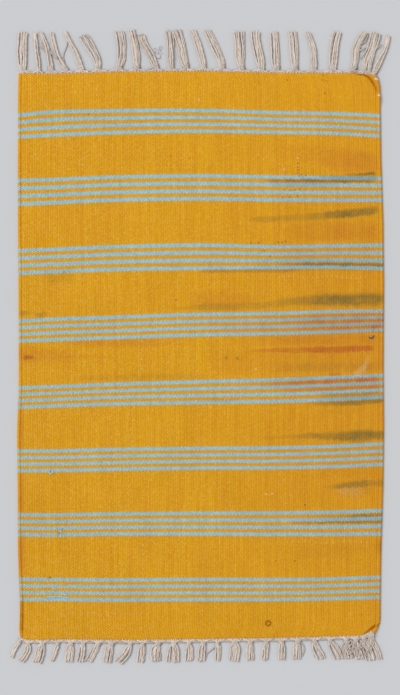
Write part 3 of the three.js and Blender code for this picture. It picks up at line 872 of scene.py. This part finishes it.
def yarn_path(fringe, bundle, number, warp_x, place, of):
    """One yarn's way from the cloth's edge along to its knot, and out to its cut end, in mm."""
    outward = fringe.outward
    edge = edge_y(bundle.knot, outward)
    own_edge = edge_y(warp_x, outward)
    lane = place / (of - 1) - 0.5  # where it lies in its bundle, from one side to the other
    tight = fringe.drawn_in * bundle.wide
    above = 1 - place % 2  # every other yarn lies higher
    path = [(warp_x, own_edge - outward * ROOTED, ROOT_HIGH + curl(warp_x, own_edge)[0])]
    for t in ALONG_EDGE:  # farther out, the nearer it comes to its knot
        out = 2.3 + 0.7 * uneven(number, place, 9) + 3.4 * t**2.2
        x = bundle.knot + (warp_x - bundle.knot) * (1 - t) + lane * 0.6 * tight * t
        path.append((x, own_edge * (1 - t) + edge * t + outward * out, 3 + 0.6 * above))
    path.append((bundle.knot + lane * tight, edge + outward * KNOT_OUT, 2 + 1.6 * above))

    crosses = place == (2 * number + 1) % of  # one yarn crosses over the others on its way out
    tip = bundle.reach + RAGGED * uneven(number, place, 2)
    start = fringe.places[0]
    for n in range(1, fringe.steps + 1):
        t = start + (1 - start) * n / fringe.steps
        x, side = lie_of(fringe, bundle, t)
        opened = min((t - start) / OPENS_WITHIN, 1)
        full = FULLER * (bundle.wide + (bundle.tip_wide - bundle.wide) * t) - YARN
        width = tight + (full - tight) * opened
        over = opened * (1 - t) * 4 if crosses else 0
        lane_here = lane * (1 - 1.5 * t) if crosses else lane
        aside = lane_here * width + 0.5 * uneven(number, place, n) * opened
        high = LYING + above * YARN * 0.45 + 0.35 * uneven(place, n, number) + over
        path.append((x + side.x * aside, edge + outward * (tip * t + side.y * aside), max(high, LYING)))
    return path


def frayed(fringe, bundle, number):
    """Loose fibres beyond a bundle's cut end, in mm."""
    start = edge_y(bundle.knot, fringe.outward) + fringe.outward * (bundle.reach - 2)
    fibres = []
    for n in range(FRAYED):
        x = bundle.tip + (n / (FRAYED - 1) - 0.5) * bundle.tip_wide
        lean = 3 * uneven(number, n, 5)
        far = fringe.outward * (5.5 + 2 * uneven(n, number))
        fibres.append([(x, start, 2), (x + lean * 0.3, start + far * 0.5, 2.8), (x + lean, start + far, 1)])
    return fibres


def tangled(fringe):
    """Loose yarns across a fringe's last bundles, in mm."""
    paths = []
    for n in range(TANGLED):
        x = TANGLE_FROM + TANGLE_APART * n
        y = edge_y(x, fringe.outward)
        way = [(x + lean * uneven(n, 4 + k), out, z) for k, (out, z, lean) in enumerate(TANGLE_WAY)]
        paths.append([(at, y + fringe.outward * out, z) for at, out, z in way])
    return paths


def lint():
    """The hairs of a wisp of lint, in mm."""
    hairs = []
    for x, y, radius, first, last in LINT:
        turns = [first + (last - first) * n / LINT_STEPS for n in range(LINT_STEPS + 1)]
        hairs.append([(x + radius * math.cos(a), y + radius * math.sin(a), LINT_HIGH) for a in turns])
    return hairs


def guides(name, paths, closed=False):
    """A curve object with a spline through each path."""
    curve = bpy.data.curves.new(name, "CURVE")
    curve.dimensions = "3D"
    for path in paths:
        spline = curve.splines.new("POLY")
        spline.points.add(len(path) - 1)
        spline.points.foreach_set("co", [c for x, y, z in path for c in (x * MM, y * MM, z * MM, 1)])
        spline.use_cyclic_u = closed
    made = bpy.data.objects.new(name, curve)
    scene.collection.objects.link(made)
    return made


# Each guide becomes a plied yarn: two lobes that turn round each other, a little uneven, off its guide.
spin, given = new_tree(
    "spin_yarn",
    {
        "Thickness": YARN * MM,
        "Step": 0.0018,
        "Lay": 0.02,
        "Stray": 0.0004,
        "Stray length": 0.025,
        "Pale": 0.0,
    },
)
lines = add(spin, "GeometryNodeCurveSplineType", [given.outputs[0]], spline_type="CATMULL_ROM")
lines = add(
    spin,
    "GeometryNodeResampleCurve",
    {"Curve": lines, "Length": given.outputs["Step"]},
    mode="LENGTH",
)
number = add(spin, "GeometryNodeCurveOfPoint").outputs["Curve Index"]
own = add(
    spin,
    "FunctionNodeRandomValue",
    {"ID": number, "Seed": 7, "Min": (-50.0, -50.0, -50.0), "Max": (50.0, 50.0, 50.0)},
    data_type="FLOAT_VECTOR",
)
where = add(spin, "GeometryNodeInputPosition")
stray_scale = add(spin, "ShaderNodeMath", [1.0, given.outputs["Stray length"]], operation="DIVIDE")
moved = add(spin, "ShaderNodeVectorMath", {0: where, "Scale": stray_scale}, operation="SCALE")
moved = add(spin, "ShaderNodeVectorMath", [moved, own], operation="ADD")
noise = add(spin, "ShaderNodeTexNoise", {"Vector": moved, "Scale": 1.0, "Detail": 1.0}).outputs["Color"]
noise = add(spin, "ShaderNodeVectorMath", [noise, (0.5, 0.5, 0.5)], operation="SUBTRACT")
stray = add(spin, "ShaderNodeMath", [given.outputs["Stray"], 4.0], operation="MULTIPLY")
noise = add(spin, "ShaderNodeVectorMath", {0: noise, "Scale": stray}, operation="SCALE")
noise = add(spin, "ShaderNodeVectorMath", [noise, (1.0, 1.0, 0.35)], operation="MULTIPLY")
lines = add(spin, "GeometryNodeSetPosition", {"Geometry": lines, "Offset": noise})
thick = add(spin, "ShaderNodeTexNoise", {"Vector": moved, "Scale": 1.7, "Detail": 1.0}).outputs[0]
thick = add(spin, "ShaderNodeMapRange", [thick, 0.3, 0.7, 0.82, 1.18])
lines = add(spin, "GeometryNodeSetCurveRadius", {"Curve": lines, "Radius": thick})
length = add(spin, "GeometryNodeSplineParameter").outputs["Length"]
turns = add(spin, "ShaderNodeMath", [length, given.outputs["Lay"]], operation="DIVIDE")
turns = add(spin, "ShaderNodeMath", [turns, 2 * math.pi], operation="MULTIPLY")
first = add(spin, "ShaderNodeSeparateXYZ", [own]).outputs[0]
turns = add(spin, "ShaderNodeMath", [turns, first], operation="ADD")
lines = add(spin, "GeometryNodeSetCurveTilt", {"Curve": lines, "Tilt": turns})
lines = add(
    spin,
    "GeometryNodeStoreNamedAttribute",
    {"Geometry": lines, "Name": "along", "Value": length},
    data_type="FLOAT",
    domain="POINT",
)
tone = add(spin, "FunctionNodeRandomValue", {"ID": number, "Seed": 3}, data_type="FLOAT").outputs[1]
tone = add(spin, "ShaderNodeMath", [tone, given.outputs["Pale"]], operation="ADD")
lines = add(
    spin,
    "GeometryNodeStoreNamedAttribute",
    {"Geometry": lines, "Name": "tone", "Value": tone},
    data_type="FLOAT",
    domain="POINT",
)
round_off = add(spin, "ShaderNodeMath", [given.outputs["Thickness"], 0.5], operation="MULTIPLY")
ring = add(spin, "GeometryNodeCurvePrimitiveCircle", {"Resolution": 8, "Radius": round_off})
share = add(spin, "GeometryNodeSplineParameter").outputs["Factor"]
lobe = add(spin, "ShaderNodeMath", [share, 4 * math.pi], operation="MULTIPLY")
lobe = add(spin, "ShaderNodeMath", [lobe], operation="COSINE")
lobe = add(spin, "ShaderNodeMath", [lobe, 0.1], operation="MULTIPLY")
at = add(spin, "GeometryNodeInputPosition")
lobe = add(spin, "ShaderNodeVectorMath", {0: at, "Scale": lobe}, operation="SCALE")
ring = add(spin, "GeometryNodeSetPosition", {"Geometry": ring, "Offset": lobe})
ring = add(
    spin,
    "GeometryNodeStoreNamedAttribute",
    {"Geometry": ring, "Name": "around", "Value": share},
    data_type="FLOAT",
    domain="POINT",
)
swept = add(spin, "GeometryNodeCurveToMesh", {"Curve": lines, "Profile Curve": ring, "Fill Caps": True})
swept = add(spin, "GeometryNodeSetShadeSmooth", [swept])
swept = add(spin, "GeometryNodeRealizeInstances", [swept])
swept = add(spin, "GeometryNodeSetMaterial", [swept])
add(spin, "NodeGroupOutput", [swept])


def spun(name, low, high):
    """Twisted cotton yarn, fuzzy and matt, with painted shade: a darker colour for its low parts, a lighter
    one for those on top, and darker in the groove between its plies.
    """
    cotton = bpy.data.materials.new(name)
    cotton.use_nodes = True
    nodes = cotton.node_tree
    nodes.nodes.clear()
    along = add(nodes, "ShaderNodeAttribute", attribute_name="along").outputs["Fac"]
    around = add(nodes, "ShaderNodeAttribute", attribute_name="around").outputs["Fac"]
    tone = add(nodes, "ShaderNodeAttribute", attribute_name="tone").outputs["Fac"]
    place = add(nodes, "ShaderNodeTexCoord").outputs["Object"]
    ply = add(nodes, "ShaderNodeMath", [around, 4 * math.pi], operation="MULTIPLY")
    ply = add(nodes, "ShaderNodeMath", [ply], operation="COSINE")
    ply = add(nodes, "ShaderNodeMapRange", [ply, -1.0, 0.4, 0.0, 1.0])
    grime = add(nodes, "ShaderNodeTexNoise", {"Vector": place, "Scale": 90.0, "Detail": 3.0}).outputs[0]
    hair = add(nodes, "ShaderNodeMath", [along, 900.0], operation="MULTIPLY")
    hair = add(nodes, "ShaderNodeCombineXYZ", [hair, around, tone])
    hair = add(nodes, "ShaderNodeTexNoise", {"Vector": hair, "Scale": 1.5, "Detail": 2.0}).outputs[0]
    # Random tone, grime, and painted shade in the groove between the two plies.
    light = 0.69
    for part, amount in ((tone, 0.13), (ply, 0.14), (grime, 0.24)):
        light = add(nodes, "ShaderNodeMath", [part, amount, light], operation="MULTIPLY_ADD")
    # Painted shade: parts low down, where a yarn lies under others, take the darker colour, and parts on top
    # the lighter one.
    height = add(nodes, "ShaderNodeSeparateXYZ", [place]).outputs[2]
    height = add(nodes, "ShaderNodeMath", [grime, 0.002, height], operation="MULTIPLY_ADD")
    on_top = add(nodes, "ShaderNodeMapRange", [height, 0.0024, 0.0058, 0.0, 1.0])
    colour = {0: on_top, 6: linear(low), 7: linear(high)}
    colour = add(nodes, "ShaderNodeMix", colour, data_type="RGBA").outputs[2]
    colour = add(nodes, "ShaderNodeVectorMath", {0: colour, "Scale": light}, operation="SCALE")
    relief = add(nodes, "ShaderNodeMath", [hair, 0.5, ply], operation="MULTIPLY_ADD")
    bump = add(nodes, "ShaderNodeBump", {"Strength": 0.6, "Distance": 0.0003, "Height": relief})
    surface = {
        "Base Color": colour,
        "Roughness": 0.9,
        "IOR": 1.5,
        "Specular IOR Level": 0.1,
        "Normal": bump,
    }
    surface = add(nodes, "ShaderNodeBsdfPrincipled", surface)
    add(nodes, "ShaderNodeOutputMaterial", [surface])
    return cotton


def keep(piece, node):
    """Give a grown piece its place in the frame, and list it with those that lie with the cloth."""
    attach(piece, "root")
    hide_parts(node)


# Undyed cotton warp: greyish cream, with painted shade that makes it darker and a little browner low down
# between the yarns.
# Heading passes and loose yarns have one colour all through, apart from the painted shade between their
# plies.
raw = spun("raw_cotton_warp", "cfbcad", "ded2c8")
clean = spun("raw_cotton_loose", "c4b7ad", "c4b7ad")
for node, fringe in FRINGES.items():
    made = guides(node + "_passes", [heading(fringe, out) for out in fringe.passes])
    keep(grown(made, spin, clean, node + "_heading", Thickness=0.0023, Pale=0.3), node)
    tied = [bundle.knot for bundle in fringe.bundles]
    limits = [fringe.first] + [(a + b) / 2 for a, b in zip(tied, tied[1:])] + [fringe.last]
    paths = []
    fibres = []
    for number, bundle in enumerate(fringe.bundles):
        low, high = limits[number], limits[number + 1]
        count = max(3, round(bundle.wide / YARNS_APART))
        for place in range(count):
            warp_x = low + (high - low) * (place + 0.5) / count
            paths.append(yarn_path(fringe, bundle, number, warp_x, place, count))
        if fringe is FAR and bundle.reach < SHORT_OF_OTHERS:
            fibres += frayed(fringe, bundle, number)
    keep(grown(guides(node + "_guides", paths), spin, raw, node + "_yarns"), node)
    loose = []
    for stray in fringe.strays:
        loose.append([(x, edge_y(x, fringe.outward) + fringe.outward * out, z) for x, out, z in stray])
    if fringe is NEAR:
        loose += tangled(fringe)
    made = guides(node + "_loose", loose)
    keep(grown(made, spin, clean, node + "_strays", Thickness=0.0021), node)
    if fringe is FAR:
        made = guides(node + "_fibres", fibres + lint())
        keep(grown(made, spin, clean, node + "_fuzz", Thickness=0.0006), node)

# The knots: the bundle is turned once round itself and drawn tight against the cloth, so three of its
# yarns cross over the rest in a slanting band.
KNOT_WIDEST = 12  # a knot is no wider than that of a bundle of this width
WRAPS = (-1, 0, 1)
WRAP_APART = 2.7
WRAP_POINTS = 12
KNOT_HIGH = 2.9  # height of a knot's middle
WRAP_RISE = 1.6  # how far a wrap goes above and below it
for node, fringe in FRINGES.items():
    outward = fringe.outward
    wraps = []
    for number, bundle in enumerate(fringe.bundles):
        middle = Vector((bundle.knot, edge_y(bundle.knot, outward) + outward * KNOT_OUT))
        step = bundle.reach * (fringe.places[1] - fringe.places[0])
        leaves = Vector((bundle.near - bundle.knot, outward * step)).normalized()
        aside = Vector((leaves.y, -leaves.x))
        slant = 0.5 * (1 if uneven(number, 5) > 0 else -1) + 0.25 * uneven(number, 6)
        drawn = min(bundle.wide, KNOT_WIDEST) * 0.6 * fringe.drawn_in
        half = drawn + 1.3 + 0.7 * uneven(number, 8)
        for wrap in WRAPS:
            loop = []
            for n in range(WRAP_POINTS):
                turn = 2 * math.pi * n / WRAP_POINTS
                over = math.cos(turn) * (half - 0.7 * abs(wrap))
                spot = middle + aside * over + leaves * (wrap * WRAP_APART + slant * over)
                loop.append((spot.x, spot.y, KNOT_HIGH + WRAP_RISE * math.sin(turn)))
            wraps.append(loop)
    made = guides(node + "_wraps", wraps, closed=True)
    knots = grown(made, spin, raw, node + "_knots", Thickness=0.0026, Stray=0.0003, Pale=-1.2)
    keep(knots, node)

# Loose ends of weft: blue and mustard cotton, where two lengths were joined or one has worked out of the
# face, and two odd curls of darker yarn. Most of them lie at the left, in the three bands nearest the
# shorter fringe.
WEFT_ENDS = {
    "pale_blue_weft": (
        ("8fbac8", "b2d5df"),
        [
            [(-250, -190, 5), (-252, -194, 5.6), (-249.5, -197, 5.8), (-246, -196, 5.6), (-246, -191, 5)],
            [(-218.6, -275, 4.6), (-218.2, -278, 5), (-218.8, -281, 4.6)],
            [(-235, -288.5, 4.6), (-235.6, -291.5, 5), (-232, -294, 5), (-231.5, -298, 5), (-233, -303, 4.6)],
            [(-246.5, -385.5, 4.6), (-243.5, -388.6, 5), (-240, -390, 4.4)],
            [(-228, -397, 4.6), (-225, -399.3, 5), (-222, -397.6, 4.6)],
            [(-257, -403, 4.4), (-240, -402, 4.8), (-221, -403, 4.4)],
        ],
    ),
    "mustard_weft": (
        ("cf8f1c", "e6aa24"),
        [
            [(-237.4, -290, 4.8), (-237.8, -294, 5.2), (-237.6, -298.5, 4.8)],
            [(-222, -274.6, 4.6), (-220.5, -275.2, 4.8)],
            [(-252.4, -366.5, 4.6), (-252.8, -372.5, 4.8)],
            [(-263, -387.4, 4.4), (-256, -387.9, 4.9), (-248, -387.6, 4.6)],
            [(-231, -382.6, 4.6), (-223, -382.3, 4.6)],
        ],
    ),
    "dark_violet_weft": (
        ("3c3552", "5d5478"),
        [[(282, 31, 5), (283.5, 28.7, 5.6), (286, 28.7, 5.6), (288, 30.5, 5.6), (290, 33, 5)]],
    ),
    "brown_mustard_weft": (
        ("7a4c10", "a8701c"),
        [[(118, -446, 5), (113.5, -441.5, 5.3), (108.8, -446, 5.3), (113, -450.5, 5.3), (117.6, -447.5, 5)]],
    ),
}
# Each yarn's first colour is its painted shade low down, the second its colour on top.
for name, ((low, high), paths) in WEFT_ENDS.items():
    made = guides(name + "_guides", paths)
    loose = grown(made, spin, spun(name, low, high), name + "_ends", Thickness=0.0019, Stray=0.0)
    keep(loose, "cloth")

# The floor under the rug: a plain pale sheet. One broad soft light comes from the upper left, and even
# light from all round. The camera looks straight down.
FLOOR_REACH = 6
FLOOR_LEVEL = -0.0003  # just under the rug
corners = [(x * FLOOR_REACH, y * FLOOR_REACH, FLOOR_LEVEL) for x, y in ((-1, -1), (1, -1), (1, 1), (-1, 1))]
floor_mesh = bpy.data.meshes.new("floor")
floor_mesh.from_pydata(corners, [], [(0, 1, 2, 3)])
floor = bpy.data.objects.new("floor", floor_mesh)
scene.collection.objects.link(floor)
paper = bpy.data.materials.new("pale_floor")
paper.use_nodes = True
matt = paper.node_tree.nodes["Principled BSDF"].inputs
matt["Base Color"].default_value = linear("cacbce")
matt["Roughness"].default_value = 0.95
matt["Specular IOR Level"].default_value = 0.1
floor_mesh.materials.append(paper)

world = bpy.data.worlds.new("even_light")
world.use_nodes = True
world.node_tree.nodes["Background"].inputs[0].default_value = linear("ffffff")
world.node_tree.nodes["Background"].inputs[1].default_value = 0.55
scene.world = world

lamp = bpy.data.lights.new("soft_light", "SUN")
lamp.angle = math.radians(35)
lamp.energy = 1.75
soft_light = bpy.data.objects.new("soft_light", lamp)
soft_light.rotation_euler = Vector((0.55, -0.35, -1)).to_track_quat("-Z", "Y").to_euler()
scene.collection.objects.link(soft_light)

CAMERA_HIGH = 5  # metres above the cloth's face
FACE_HIGH = 0.004
VIEW_MIDDLE = 0.01333  # the middle of the view is this far up the rug from its own middle
VIEW_LONG = 1.1583  # metres from the top to the bottom of the view
camera_data = bpy.data.cameras.new("camera")
camera_data.lens = camera_data.sensor_width * CAMERA_HIGH / VIEW_LONG
camera = bpy.data.objects.new("camera", camera_data)
camera.location = (0, VIEW_MIDDLE, CAMERA_HIGH + FACE_HIGH)
scene.collection.objects.link(camera)
scene.camera = camera
scene.view_settings.view_transform = "Standard"
